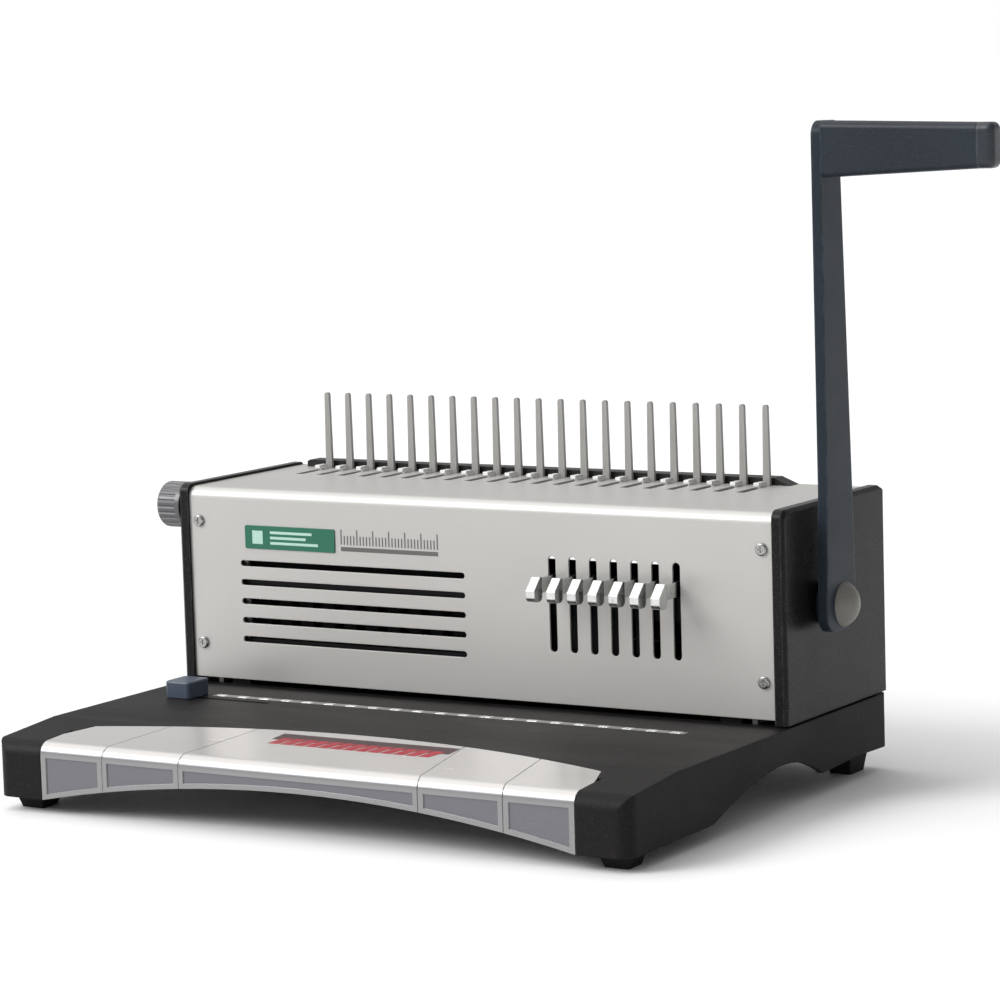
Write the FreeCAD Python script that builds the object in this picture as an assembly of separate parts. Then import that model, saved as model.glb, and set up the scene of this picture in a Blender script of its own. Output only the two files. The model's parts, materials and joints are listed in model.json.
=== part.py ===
import FreeCAD, Part
import os
from math import pi, sin, cos, tan, radians, hypot, acos, ceil

V = FreeCAD.Vector

# Comb binding machine, in millimetres: +X to the lever side, +Y to the rear, +Z up.
# Every shape is built about the base's centre line and shifted along X on export,
# so that the origin is under the middle of the whole machine.

# ---- driving dimensions -------------------------------------------------------------
gap = 0.3                    # clearance between pieces that move past each other
run_fit = 0.05               # radial clearance of a shaft or a pin in its hole
seat_fit = 0.02              # radial clearance of a piece that is pressed or screwed in place

hole_pitch = 14.2875         # standard pitch of a plastic comb, 9/16 inch
hole_count = 21
pin_width = 8.0
pin_depth = 3.0

base_width = 384.0
base_depth = 284.0
table_z = 41.5               # top of the table
table_wall = 3.0
front_edge_z = 37.5          # the table slopes down to this at its front edge
slope_length = 50.0
skirt_wall = 3.0
skirt_front_z = 7.5          # lower edge of the skirt
skirt_rear_z = 13.0

foot_height = skirt_front_z
rear_foot_height = 12.0

cover_half = 162.0           # silver front cover
cover_wall = 2.2
cover_arch_z = 24.0          # lower edge at the middle
cover_arch_end_z = 7.5       # lower edge at the ends
cover_back_mid_y = -78.0
cover_back_end_y = -103.0
cover_front_top_z = 37.8
cover_back_top_z = 42.3
cover_nose = 7.0

tray_half = 150.0            # chip tray behind the front cover
tray_wall = 2.0
tray_floor = 1.5
tray_bottom_z = 22.3
tray_top_z = 32.8
tray_front_y = -118.0
tray_back_y = 60.0
tray_travel = 120.0
bottom_plate_thick = 1.5

housing_half = 184.0
housing_front_y = 27.0
housing_top_z = 152.5
housing_bottom_z = 45.0
housing_bend = 6.0
sheet = 1.2
panel_thick = 7.0
panel_rise = 1.5             # end panels stand above the housing by this
panel_top_z = housing_top_z + panel_rise
panel_bottom_z = 42.4

vent_x = (-150.0, -2.5)      # horizontal vents in the front
vent_top_z = 110.8
vent_pitch = 10.7
vent_count = 5
vent_height = 3.4

selector_first = 14          # first of the punches that can be disengaged
selector_count = 7
selector_x = 52.3            # first vertical slot
selector_pitch = 12.5
slot_width = 4.6
slot_z = (72.7, 124.2)
selector_travel = 8.2
selector_front_y = 3.9
selector_thick = 1.6
selector_head_thick = 5.2    # pull head at the front of each selector
selector_head_long = 8.3
selector_head_tall = 12.8
selector_head_slope = 6.4    # its upper face slopes down to the front by this
selector_head_r = 3.0

frame_x = 168.0              # inner face of the steel side frames
frame_thick = 3.0

shaft_y = 70.0               # lever pivot and main shaft
shaft_z = 100.5
shaft_r = 6.0
lever_swing = radians(80.0)

module = 2.0                 # drive gears, each meshed with two racks
gear_teeth = 16
gear_x = (138.0, 158.0)
pressure_angle = radians(20.0)
addendum = 0.8 * module
dedendum = 1.1 * module
tooth_relief = 0.36          # taken off each flank for backlash
rack_width = 9.0
gear_r = module * gear_teeth / 2
stroke = gear_r * lever_swing

pin_y = 40.0                 # row of punches
throat_z = housing_bottom_z  # paper throat between the table and this height
block_top_z = 68.0
bar_z = (92.0, 106.0)
bar_y = (31.0, 48.0)
bar_half = 161.0
post_x = 155.5
post_r = 4.0
pin_clear = 0.05

tine_y = 130.0               # fixed upright tines that hold the comb
tine_mid_x = -15.0
tine_rise = 44.0             # tines stand above the housing by this
tine_height_z = housing_top_z + tine_rise
tine_thick = 2.0
tine_base = 4.2
tine_tip = 3.0

lever_x = (197.5, 203.0)
grip_end_x = 298.0
grip_cap = 9.0
grip_z = (321.5, 350.5)
grip_end_z = (325.5, 348.5)
grip_y = (51.0, 64.0)

knob_y = 39.5                # margin knob on the left end
knob_z = 140.5
knob_r = 13.0
knob_x = (-207.0, -191.5)
knob_shaft_r = 3.0
crank_offset = 1.4
crank_pin_r = 1.5
knob_turn = radians(120.0)
rocker_y = 50.0
rocker_z = 95.5
rocker_x = (163.5, 166.5)

guide_x = (-169.0, -152.0)   # sliding paper guide
guide_y = (-23.0, -4.0)
guide_top_z = 51.0
guide_travel = 50.0
guide_slot_y = -15.5
guide_slot_width = 3.4
guide_stem_half = 4.0

scale_y = (-7.5, -1.5)
sheet_half = 148.5           # half the height of an A4 sheet

origin_x = (knob_x[0] + grip_end_x) / 2

half_w = base_width / 2
guide_mid_x = (guide_x[0] + guide_x[1]) / 2
half_d = base_depth / 2
housing_back_y = half_d
table_under_z = table_z - table_wall
pins_x = [(i - (hole_count - 1) / 2) * hole_pitch for i in range(hole_count)]
tines_x = [x + tine_mid_x for x in pins_x]
selectors_x = [selector_x + i * selector_pitch for i in range(selector_count)]


# ---- helpers ------------------------------------------------------------------------
def box(x0, x1, y0, y1, z0, z1):
    return Part.makeBox(x1 - x0, y1 - y0, z1 - z0, V(x0, y0, z0))


def rod_x(y, z, r, x0, x1):
    return Part.makeCylinder(r, x1 - x0, V(x0, y, z), V(1, 0, 0))


def rod_y(x, z, r, y0, y1):
    return Part.makeCylinder(r, y1 - y0, V(x, y0, z), V(0, 1, 0))


def rod_z(x, y, r, z0, z1):
    return Part.makeCylinder(r, z1 - z0, V(x, y, z0), V(0, 0, 1))


def place(plane, a, b):
    """A point of an outline, on the plane through the origin across the named axis."""
    return {"x": V(0, a, b), "y": V(a, 0, b), "z": V(a, b, 0)}[plane]


def prism(plane, steps, low, high):
    """An outline carried along an axis: a step is a corner, or an arc's middle and end."""
    edges = []
    here = place(plane, *steps[0])
    for step in steps[1:] + steps[:1]:
        if len(step) == 4:
            end = place(plane, step[2], step[3])
            edges.append(Part.Arc(here, place(plane, step[0], step[1]), end).toShape())
        else:
            end = place(plane, *step)
            if (end - here).Length < 1e-6:
                continue
            edges.append(Part.LineSegment(here, end).toShape())
        here = end
    face = Part.Face(Part.Wire(edges))
    axis = {"x": V(1, 0, 0), "y": V(0, 1, 0), "z": V(0, 0, 1)}[plane]
    face.translate(axis * low)
    return face.extrude(axis * (high - low))


def fuse(shapes):
    first, rest = shapes[0], shapes[1:]
    return first.multiFuse(rest).removeSplitter() if rest else first


def cut(shape, tools):
    return shape.cut(Part.makeCompound(tools)) if tools else shape


def mirror_x(shape):
    return shape.mirror(V(0, 0, 0), V(1, 0, 0))


def both(shape):
    return [shape, mirror_x(shape)]


def round_edges(shape, radius, chosen):
    edges = [e for e in shape.Edges if chosen(e.BoundBox)]
    return shape.makeFillet(radius, edges) if edges else shape


def along(b, axis):
    """True where an edge's box is a line along the named axis."""
    spans = {"x": b.XLength, "y": b.YLength, "z": b.ZLength}
    length = spans.pop(axis)
    return length > 0.5 and max(spans.values()) < 1e-3


def tapered(x, y, low_size, high_size, z0, z1):
    """A block that grows from a small lower rectangle to a larger upper one."""
    wires = []
    for (w, d), z in ((low_size, z0), (high_size, z1)):
        corners = [V(x + sx * w / 2, y + sy * d / 2, z)
                   for sx, sy in ((-1, -1), (1, -1), (1, 1), (-1, 1), (-1, -1))]
        wires.append(Part.makePolygon(corners))
    return Part.makeLoft(wires, True, True)


def slot_y(x0, x1, z0, z1, y0, y1):
    """A round-ended slot through a wall that faces Y."""
    r = min(x1 - x0, z1 - z0) / 2
    if x1 - x0 > z1 - z0:
        z = (z0 + z1) / 2
        ends = [rod_y(x0 + r, z, r, y0, y1), rod_y(x1 - r, z, r, y0, y1)]
        return fuse([box(x0 + r, x1 - r, y0, y1, z0, z1)] + ends)
    x = (x0 + x1) / 2
    ends = [rod_y(x, z0 + r, r, y0, y1), rod_y(x, z1 - r, r, y0, y1)]
    return fuse([box(x0, x1, y0, y1, z0 + r, z1 - r)] + ends)


def pan_screw_y(x, z, head_r, shank_r, seat_y, length):
    """A pan-head screw that goes in along +Y, with a cross recess."""
    head = rod_y(x, z, head_r, seat_y - 1.6, seat_y)
    head = round_edges(head, 1.0, lambda b: b.YLength < 1e-3 and b.YMax < seat_y - 1)
    cross = [box(x - 1.6, x + 1.6, seat_y - 2, seat_y - 0.7, z - 0.3, z + 0.3),
             box(x - 0.3, x + 0.3, seat_y - 2, seat_y - 0.7, z - 1.6, z + 1.6)]
    return fuse([cut(head, cross), rod_y(x, z, shank_r, seat_y, seat_y + length)])


def screw_up(x, y, head_r, shank_r, seat_z, length):
    """A pan-head screw that goes in upwards, with a slot."""
    head = rod_z(x, y, head_r, seat_z - 1.2, seat_z)
    head = head.cut(box(x - head_r, x + head_r, y - 0.4, y + 0.4, seat_z - 2, seat_z - 0.7))
    return fuse([head, rod_z(x, y, shank_r, seat_z, seat_z + length)])


# ---- base ---------------------------------------------------------------------------
def plan_outline(half_x, front_y, back_y, front_r, back_r):
    k = 1 - cos(radians(45))
    return [(-half_x, back_y - back_r),
            (-half_x, front_y + front_r),
            (-half_x + front_r * k, front_y + front_r * k, -half_x + front_r, front_y),
            (half_x - front_r, front_y),
            (half_x - front_r * k, front_y + front_r * k, half_x, front_y + front_r),
            (half_x, back_y - back_r),
            (half_x - back_r * k, back_y - back_r * k, half_x - back_r, back_y),
            (-half_x + back_r, back_y),
            (-half_x + back_r * k, back_y - back_r * k, -half_x, back_y - back_r)]


front_corner_r = 8.0
rear_corner_r = 6.0
front_nose_r = 7.0
arch_start_y = -58.0
arch_top = (11.0, 24.0)
arch_bump = (63.0, 11.6)
rear_foot_y = 124.0
rear_foot_x = 175.5
rear_foot_low = (12.0, 16.0)    # size at the floor, then at the top
rear_foot_high = (15.0, 22.0)
front_foot_x = 178.0
front_foot_y = -124.0
front_foot_low = (13.0, 13.0)
front_foot_high = (17.0, 18.0)
die_y = (29.0, 60.0)
die_flange_z = table_z - 2.0
die_half = 166.0
window_half = 150.0
window_y = (34.0, 50.0)
post_seats = [(160.0, -70.0), (160.0, 5.0), (160.0, 90.0)]
post_seat_r = 4.0
boss_r = 7.0
boss_screw_r = 1.75
bottom_plate_z = tray_bottom_z - gap - bottom_plate_thick


def cover_top(y):
    """Height of the front cover's outer top surface."""
    run = cover_back_mid_y + half_d
    return cover_front_top_z + (cover_back_top_z - cover_front_top_z) * (y + half_d) / run


def cover_plan(grow):
    """Plan of the front cover: straight front and sides, arched back edge."""
    half = cover_half + grow
    back_half = half - 7.0
    return [(-half, -half_d - 10), (half, -half_d - 10), (half, -half_d + 20),
            (back_half, cover_back_end_y + grow),
            (0, cover_back_mid_y + grow, -back_half, cover_back_end_y + grow),
            (-half, -half_d + 20)]


def side_profile():
    """Outline of the base seen from the right: y forward is negative."""
    k = front_nose_r * (1 - cos(radians(45)))
    slope_start = -half_d + slope_length
    nose_top = front_edge_z + 0.5
    return [(-half_d, skirt_front_z),
            (-half_d, front_edge_z - front_nose_r),
            (-half_d + k, front_edge_z - k, -half_d + front_nose_r, nose_top),
            (slope_start, table_z),
            (half_d, table_z),
            (half_d, skirt_rear_z),
            (rear_foot_y + 12, skirt_rear_z - 0.5),
            (rear_foot_y - 20, skirt_rear_z + 0.3),
            (rear_foot_y - 28, skirt_rear_z),
            arch_bump,
            (46.0, 19.4) + arch_top,
            (-30.0, 16.6, arch_start_y, skirt_front_z + 0.5)]


def base_shell():
    outer = prism("x", side_profile(), -half_w, half_w)
    plan = plan_outline(half_w, -half_d, half_d, front_corner_r, rear_corner_r)
    outer = outer.common(prism("z", plan, -1, table_z + 1))
    ledge_y = cover_back_mid_y + 4.0
    front_in = -half_d + skirt_wall
    inside = [(front_in, -5), (front_in, front_edge_z - 4.2), (ledge_y, table_under_z - 0.7),
              (ledge_y, table_under_z), (half_d - skirt_wall, table_under_z),
              (half_d - skirt_wall, -5)]
    hollow = prism("x", inside, -half_w + skirt_wall, half_w - skirt_wall)
    plan_in = plan_outline(half_w - skirt_wall, front_in, half_d - skirt_wall,
                           front_corner_r - skirt_wall, rear_corner_r - skirt_wall)
    hollow = hollow.common(prism("z", plan_in, -6, table_z))
    shell = outer.cut(hollow)
    for side in (-1, 1):
        wall = box(cover_half + 0.9, cover_half + 3.4, front_in - 1, cover_back_end_y + 6,
                   skirt_front_z, front_edge_z - 3)
        front_boss = rod_z(front_foot_x, front_foot_y, boss_r, foot_height, front_edge_z - 3)
        rear_boss = rod_z(rear_foot_x, rear_foot_y, boss_r, rear_foot_height, table_under_z + 1)
        more = [wall, front_boss, rear_boss]
        more += [rod_z(x, y, post_seat_r, bottom_plate_z + bottom_plate_thick, table_under_z + 1)
                 for x, y in post_seats]
        more = [m if side > 0 else mirror_x(m) for m in more]
        shell = fuse([shell] + more)
    pocket_low = cover_wall + gap
    plate_front_y = -half_d + cover_nose + gap
    pocket = [(-half_d - 10, -10), (-half_d - 10, 60), (-60, 60),
              (-60, cover_top(-60) - pocket_low),
              (plate_front_y, cover_top(plate_front_y) - pocket_low),
              (plate_front_y, -10)]
    pocket = prism("x", pocket, -cover_half - 0.4, cover_half + 0.4)
    pocket = pocket.common(prism("z", cover_plan(0.4), -20, 70))
    side_slot_y = -half_d + 28.0
    mouth = box(-cover_half - 0.4, cover_half + 0.4, -half_d - 10, front_in + 0.1, -10,
                front_edge_z - 4.2)
    tools = [pocket, mouth,
             box(-cover_half - 0.4, -cover_half + cover_wall + gap, -half_d - 10, side_slot_y, -10, 60),
             box(cover_half - cover_wall - gap, cover_half + 0.4, -half_d - 10, side_slot_y, -10, 60),
             box(-die_half - gap, die_half + gap, die_y[0] - gap, die_y[1] + gap,
                 die_flange_z, table_z + 1),
             box(-window_half, window_half, window_y[0], window_y[1], 30, table_z + 1),
             box(-sheet_half, sheet_half, scale_y[0], scale_y[1], table_z - 1, table_z + 1)]
    slot_start = guide_mid_x - guide_stem_half - gap
    slot_end = guide_mid_x + guide_stem_half + guide_travel + 2.0
    tools.append(box(slot_start, slot_end, guide_slot_y - guide_slot_width / 2,
                     guide_slot_y + guide_slot_width / 2, 30, table_z + 1))
    for sx in (-1, 1):
        tools += [rod_z(sx * x, y, boss_screw_r, bottom_plate_z, bottom_plate_z + 12)
                  for x, y in post_seats]
        tools.append(rod_z(sx * front_foot_x, front_foot_y, boss_screw_r, 0, foot_height + 12))
        tools.append(rod_z(sx * rear_foot_x, rear_foot_y, boss_screw_r, 0, rear_foot_height + 12))
    return cut(shell, tools)


def base_bottom_plate():
    plate = box(-165, 165, cover_back_end_y + 8, 126, bottom_plate_z, bottom_plate_z + bottom_plate_thick)
    holes = [rod_z(sx * x, y, boss_screw_r + 0.2, 0, 40) for sx in (-1, 1) for x, y in post_seats]
    return cut(plate, holes)


def bottom_plate_screws():
    return [screw_up(sx * x, y, 3.2, boss_screw_r - seat_fit, bottom_plate_z, 10)
            for sx in (-1, 1) for x, y in post_seats]


def rubber_feet():
    feet = []
    for sx in (-1, 1):
        feet.append((sx * front_foot_x, front_foot_y, front_foot_low, front_foot_high, foot_height))
        feet.append((sx * rear_foot_x, rear_foot_y, rear_foot_low, rear_foot_high, rear_foot_height))
    shapes = []
    for x, y, low, high, tall in feet:
        foot = tapered(x, y, low, high, 0, tall)
        shapes.append(cut(foot, [rod_z(x, y, 4.5, -1, 3.5), rod_z(x, y, 2.0, 0, tall + 1)]))
    return shapes


def foot_screws():
    places = [(sx * front_foot_x, front_foot_y, foot_height) for sx in (-1, 1)]
    places += [(sx * rear_foot_x, rear_foot_y, rear_foot_height) for sx in (-1, 1)]
    return [screw_up(x, y, 3.6, boss_screw_r - seat_fit, 3.5, tall + 6) for x, y, tall in places]


def scale_strip():
    strip = box(-sheet_half + 0.2, sheet_half - 0.2, scale_y[0] + 0.2, scale_y[1] - 0.2,
                table_z - 1, table_z)
    marks = [box(x - 0.25, x + 0.25, scale_y[0], scale_y[1] - 3, table_z - 0.3, table_z + 1)
             for x in pins_x]
    return cut(strip, marks)


# ---- front cover and chip tray --------------------------------------------------------
seam_inner_x = 73.0
seam_outer_x = 122.0
rib_width = 6.0
panel_recess = 0.7
seam_lean = 13.0


def front_cover():
    """Silver cover: a rounded nose over the table's front edge, arched below."""
    def profile(inset):
        front = -half_d + inset
        r = cover_nose - inset
        top = cover_top(front + r) - inset
        k = r * (1 - cos(radians(45)))
        return [(front, -10), (front, top - r), (front + k, top - k, front + r, top),
                (-50, cover_top(-50) - inset), (-50, -10)]

    half = cover_half
    body = prism("x", profile(0), -half, half).common(prism("z", cover_plan(0), -20, 70))
    hollow = prism("x", profile(cover_wall), -half + cover_wall, half - cover_wall)
    body = body.cut(hollow)
    arch = [(-half - 1, -20), (-half - 1, cover_arch_end_z), (-half, cover_arch_end_z),
            (0, cover_arch_z, half, cover_arch_end_z), (half + 1, cover_arch_end_z),
            (half + 1, -20)]
    body = body.cut(prism("y", arch, -half_d - 5, -40))
    side_cut_z = cover_top(-half_d + 20) - 9.0
    tools = [box(-half - 1, half + 1, -half_d + 20, -40, -20, side_cut_z)]
    panels = ((-seam_inner_x, seam_inner_x), (seam_inner_x, seam_outer_x),
              (seam_outer_x, half), (-seam_outer_x, -seam_inner_x), (-half, -seam_outer_x))
    arch_r = (half ** 2 + (cover_arch_z - cover_arch_end_z) ** 2) / 2
    arch_r /= cover_arch_z - cover_arch_end_z
    lip = rod_y(0, cover_arch_z - arch_r, arch_r + 2.6, -half_d - 1, -half_d + panel_recess)
    for a, b in panels:
        panel = box(a + rib_width / 2, b - rib_width / 2, -half_d - 1, -half_d + panel_recess,
                    0, cover_front_top_z - cover_nose - 0.6)
        tools.append(panel.cut(lip))
    for sx in (-1, 1):
        for x in (seam_inner_x, seam_outer_x):
            run = [(sx * x - 0.25, -half_d - 1), (sx * x + 0.25, -half_d - 1),
                   (sx * (x - seam_lean) + 0.25, -60), (sx * (x - seam_lean) - 0.25, -60)]
            groove = prism("z", run, 0, 60)
            keep = prism("x", profile(0.5), -half, half)
            tools.append(groove.cut(keep))
    return cut(body, tools)


def chip_tray():
    outer = box(-tray_half, tray_half, tray_front_y, tray_back_y, tray_bottom_z, tray_top_z)
    inner = box(-tray_half + tray_wall, tray_half - tray_wall, tray_front_y + tray_wall,
                tray_back_y - tray_wall, tray_bottom_z + tray_floor, tray_top_z + 1)
    arms = [box(-tray_half, -tray_half + 4, -half_d + cover_wall, tray_front_y,
                tray_bottom_z + 4, tray_top_z - 2)]
    arms.append(mirror_x(arms[0]))
    return fuse([outer.cut(inner)] + arms)


# ---- paper guide ------------------------------------------------------------------------
def paper_guide():
    low = table_z + gap
    block = box(guide_x[0], guide_x[1], guide_y[0], guide_y[1], low, guide_top_z)
    block = round_edges(block, 2.5, lambda b: along(b, "z"))
    block = round_edges(block, 1.2, lambda b: b.ZMin > guide_top_z - 0.01)
    half = guide_slot_width / 2 - gap
    stem = box(guide_mid_x - guide_stem_half, guide_mid_x + guide_stem_half,
               guide_slot_y - half, guide_slot_y + half, table_under_z - gap, low + 1)
    return fuse([block, stem])


def guide_clamp():
    low = tray_top_z + 1.2
    return box(guide_mid_x - 9, guide_mid_x + 9, guide_slot_y - 7, guide_slot_y + 7, low, table_under_z - gap)


# ---- housing ----------------------------------------------------------------------------
screw_x = 177.5
screw_z = (64.5, 133.5)
comb_strip_x = (-175.0, 141.0)
comb_strip_y = 132.0
comb_strip_rise = 4.0
comb_strip_z = housing_top_z + comb_strip_rise
hook_y = (117.0, 126.0)
hook_finger = 4.0
hook_slot = 5.0
hook_plate_drop = 4.0        # top of the hook plate below the housing's top
hook_plate_thick = 2.0
hook_plate_z = (housing_top_z - hook_plate_drop - hook_plate_thick, housing_top_z - hook_plate_drop)


def housing_cover():
    """Bent sheet: front and top in one piece, open below as the paper throat."""
    y0, z1 = housing_front_y, housing_top_z

    def profile(inset):
        r = housing_bend - inset
        k = r * (1 - cos(radians(45)))
        y, z = y0 + inset, z1 - inset
        return [(y, housing_bottom_z), (y, z - r), (y + k, z - k, y + r, z), (housing_back_y, z)]

    outer = profile(0) + [(housing_back_y, housing_bottom_z)]
    inner = profile(sheet) + [(housing_back_y, housing_bottom_z)]
    body = prism("x", outer, -housing_half, housing_half)
    body = body.cut(prism("x", inner, -housing_half - 1, housing_half + 1))
    through = (y0 - 1, y0 + sheet + 1)
    tools = []
    for i in range(vent_count):
        z = vent_top_z - i * vent_pitch
        tools.append(slot_y(vent_x[0], vent_x[1], z - vent_height / 2, z + vent_height / 2,
                            *through))
    for x in selectors_x:
        tools.append(slot_y(x - slot_width / 2, x + slot_width / 2, slot_z[0], slot_z[1],
                            *through))
    for sx in (-1, 1):
        tools += [rod_y(sx * screw_x, z, 1.9, *through) for z in screw_z]
    tools.append(box(comb_strip_x[0] - 0.3, comb_strip_x[1] + 0.3, comb_strip_y - 0.3,
                     housing_back_y + 1, z1 - 3, z1 + 1))
    slot_front = hook_y[1] - hook_finger - stroke - 1.5
    for x in tines_x:
        tools.append(box(x - hook_slot / 2, x + hook_slot / 2, slot_front, comb_strip_y,
                         z1 - 3, z1 + 1))
    return cut(body, tools)


def cover_screws():
    return [pan_screw_y(sx * screw_x, z, 3.4, 1.7, housing_front_y, 6)
            for sx in (-1, 1) for z in screw_z]


def badge_plate():
    plate = box(-146, -86, housing_front_y - 0.6, housing_front_y, 119.4, 132.4)
    return round_edges(plate, 1.0, lambda b: along(b, "y"))


def rear_cover():
    y1 = housing_back_y
    body = box(-housing_half, housing_half, y1 - sheet, y1, table_z, housing_top_z - sheet)
    vents = [slot_y(-60, 60, z, z + 4, y1 - 3, y1 + 1) for z in (90, 102, 114)]
    return cut(body, vents)


def end_panel(side):
    """Black moulded end panel, bevelled along its front edge."""
    x0, x1 = housing_half, housing_half + panel_thick
    y0, y1 = housing_front_y - 1.5, half_d
    outline = [(y0, panel_bottom_z), (y0, panel_top_z - 5), (y0 + 1.5, panel_top_z - 1.5,
               y0 + 5, panel_top_z), (y1 - 3, panel_top_z), (y1, panel_top_z - 3),
               (y1, panel_bottom_z)]
    panel = prism("x", outline, x0, x1)
    outer_edges = [e for e in panel.Edges if e.BoundBox.XMin > x1 - 1e-3]
    outer_edges = [e for e in outer_edges if e.BoundBox.YMax < y1 - 0.1]
    panel = panel.makeChamfer(2.0, outer_edges)
    if side > 0:
        return cut(panel, [rod_x(shaft_y, shaft_z, shaft_r + 1.5, x0 - 1, x1 + 1)])
    panel = mirror_x(panel)
    return cut(panel, [rod_x(knob_y, knob_z, knob_shaft_r + 1.0, -x1 - 1, -x0 + 1)])


def comb_rail():
    """Black strip behind the tines, its right end sloping down."""
    x0, x1 = comb_strip_x
    z0 = housing_top_z - sheet
    outline = [(x0, z0), (x0, comb_strip_z - 1), (x0 + 2, comb_strip_z), (x1 - 10, comb_strip_z),
               (x1, housing_top_z), (x1, z0)]
    strip = prism("y", outline, comb_strip_y, housing_back_y)
    lip = box(-frame_x + 3, x1 - 2, comb_strip_y, comb_strip_y + 1.5, z0 - 8, z0 + 1)
    return fuse([strip, lip])


# ---- frame and shaft ----------------------------------------------------------------------
bush_r = 9.0
bush_flange_r = 12.0
bolt_y = (75.0, 120.0)
tie_rods_yz = ((118.0, 62.0), (118.0, 104.0))
tie_rod_r = 4.0
tine_plate_z = (112.0, 140.0)


frame_drop = 3.5             # top of the side frames below the housing's top


def side_frame(side):
    x0, x1 = frame_x, frame_x + frame_thick
    top = housing_top_z - frame_drop
    outline = [(31.0, table_z), (31.0, top - 2), (34.0, top), (137.0, top), (137.0, table_z)]
    plate = prism("x", outline, x0, x1)
    foot = box(x1 - 1, x1 + 10, 62, 132, table_z, table_z + frame_thick)
    front = box(x1 - 1, x1 + 11, housing_front_y + sheet, 31.0, 50, 142)
    front = front.fuse(box(x0, x1, housing_front_y + sheet, 32.0, 50, 142))
    body = fuse([plate, foot, front])
    tools = [rod_x(shaft_y, shaft_z, bush_r + seat_fit, x0 - 1, x1 + 1)]
    tools += [rod_x(y, z, tie_rod_r - 1.5 + seat_fit, x0 - 1, x1 + 1) for y, z in tie_rods_yz]
    tools += [rod_z(x1 + 5, y, 2.1, table_z - 1, table_z + 5) for y in bolt_y]
    tools += [rod_y(screw_x, z, 1.7 + seat_fit, 27, 33) for z in screw_z]
    tools.append(rod_x(rocker_y, rocker_z, 2.5 + seat_fit, x0 - 1, x1 + 1))
    if side < 0:
        tools.append(rod_x(knob_y, knob_z, knob_shaft_r + run_fit, x0 - 1, x1 + 1))
    body = cut(body, tools)
    return body if side > 0 else mirror_x(body)


def frame_bolts():
    """Bolts that hold the side frames down on the table."""
    shapes = []
    for sx in (-1, 1):
        for y in bolt_y:
            x = sx * (frame_x + frame_thick + 5)
            top = table_z + frame_thick
            shapes.append(fuse([rod_z(x, y, 3.6, top, top + 2.6), rod_z(x, y, 2.0, table_z, top)]))
    return shapes


def bush(side):
    x0, x1 = frame_x, frame_x + frame_thick
    body = fuse([rod_x(shaft_y, shaft_z, bush_r, x0 - 3, x1 + 2),
                 rod_x(shaft_y, shaft_z, bush_flange_r, x0 - 3, x0)])
    body = cut(body, [rod_x(shaft_y, shaft_z, shaft_r + run_fit, x0 - 5, x1 + 5)])
    return body if side > 0 else mirror_x(body)


def tie_rods():
    shapes = []
    for y, z in tie_rods_yz:
        shapes.append(fuse([rod_x(y, z, tie_rod_r, -frame_x, frame_x),
                            rod_x(y, z, tie_rod_r - 1.5, -frame_x - 5, frame_x + 5)]))
    return shapes


def tie_rod_nuts():
    """Hexagon nuts outside the side frames."""
    shapes = []
    for y, z in tie_rods_yz:
        corners = [(y + 4.6 * cos(a * pi / 3), z + 4.6 * sin(a * pi / 3)) for a in range(6)]
        nut = prism("x", corners, frame_x + frame_thick, frame_x + frame_thick + 3)
        nut = nut.cut(rod_x(y, z, tie_rod_r - 1.5 + seat_fit, 100, 200))
        shapes += both(nut)
    return shapes


def main_shaft():
    body = rod_x(shaft_y, shaft_z, shaft_r, -frame_x - 8, lever_x[1])
    flat = box(lever_x[0] - 1, lever_x[1] + 1, shaft_y - 10, shaft_y + 10, shaft_z + 4.5,
               shaft_z + 10)
    return body.cut(flat)


def shaft_rings():
    """Retaining rings on the main shaft, outside the bushes."""
    shapes = []
    for x0 in (-frame_x - frame_thick - 4.5, frame_x + frame_thick + 3.3):
        ring = rod_x(shaft_y, shaft_z, shaft_r + 2.5, x0, x0 + 1.2)
        shapes.append(ring.cut(rod_x(shaft_y, shaft_z, shaft_r + seat_fit, x0 - 1, x0 + 3)))
    return shapes


# ---- gears and racks ----------------------------------------------------------------------
def gear_outline():
    """Involute teeth, one centred on +Z, with each flank set back by the relief."""
    base_r = gear_r * cos(pressure_angle)
    root_r, tip_r = gear_r - dedendum, gear_r + addendum
    involute = tan(pressure_angle) - pressure_angle
    half_angle = pi / (2 * gear_teeth) - tooth_relief / gear_r
    steps = 5
    flank = [(root_r, half_angle + involute)]
    for i in range(steps):
        r = base_r + (tip_r - base_r) * i / (steps - 1)
        a = acos(base_r / r)
        flank.append((r, half_angle + involute - (tan(a) - a)))
    points = []
    for k in range(gear_teeth):
        mid = 2 * pi * k / gear_teeth
        both_flanks = [(r, mid - a) for r, a in flank] + [(r, mid + a) for r, a in reversed(flank)]
        points += [(shaft_y + r * sin(a), shaft_z + r * cos(a)) for r, a in both_flanks]
    return points


def drive_gears():
    """Two wide gears on the main shaft, each driving a punch rack and a comb rack."""
    gear = prism("x", gear_outline(), gear_x[0], gear_x[1])
    gear = fuse([gear, rod_x(shaft_y, shaft_z, 10.0, gear_x[1] - 1, frame_x - 4)])
    gear = gear.cut(rod_x(shaft_y, shaft_z, shaft_r + seat_fit, gear_x[0] - 5, frame_x))
    return both(gear)


def rack_teeth(start, end, centre):
    """Straight-sided teeth as (distance along, height) points, a space at the centre."""
    pitch = pi * module
    slope = tan(pressure_angle)
    half = pitch / 4 - tooth_relief
    foot = half + dedendum * slope
    tip = half - addendum * slope
    points = [(start, -dedendum)]
    k = ceil((start + foot - centre) / pitch - 0.5)
    while centre + (k + 0.5) * pitch + foot <= end:
        mid = centre + (k + 0.5) * pitch
        points += [(mid - foot, -dedendum), (mid - tip, addendum), (mid + tip, addendum),
                   (mid + foot, -dedendum)]
        k += 1
    return points + [(end, -dedendum)]


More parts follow.
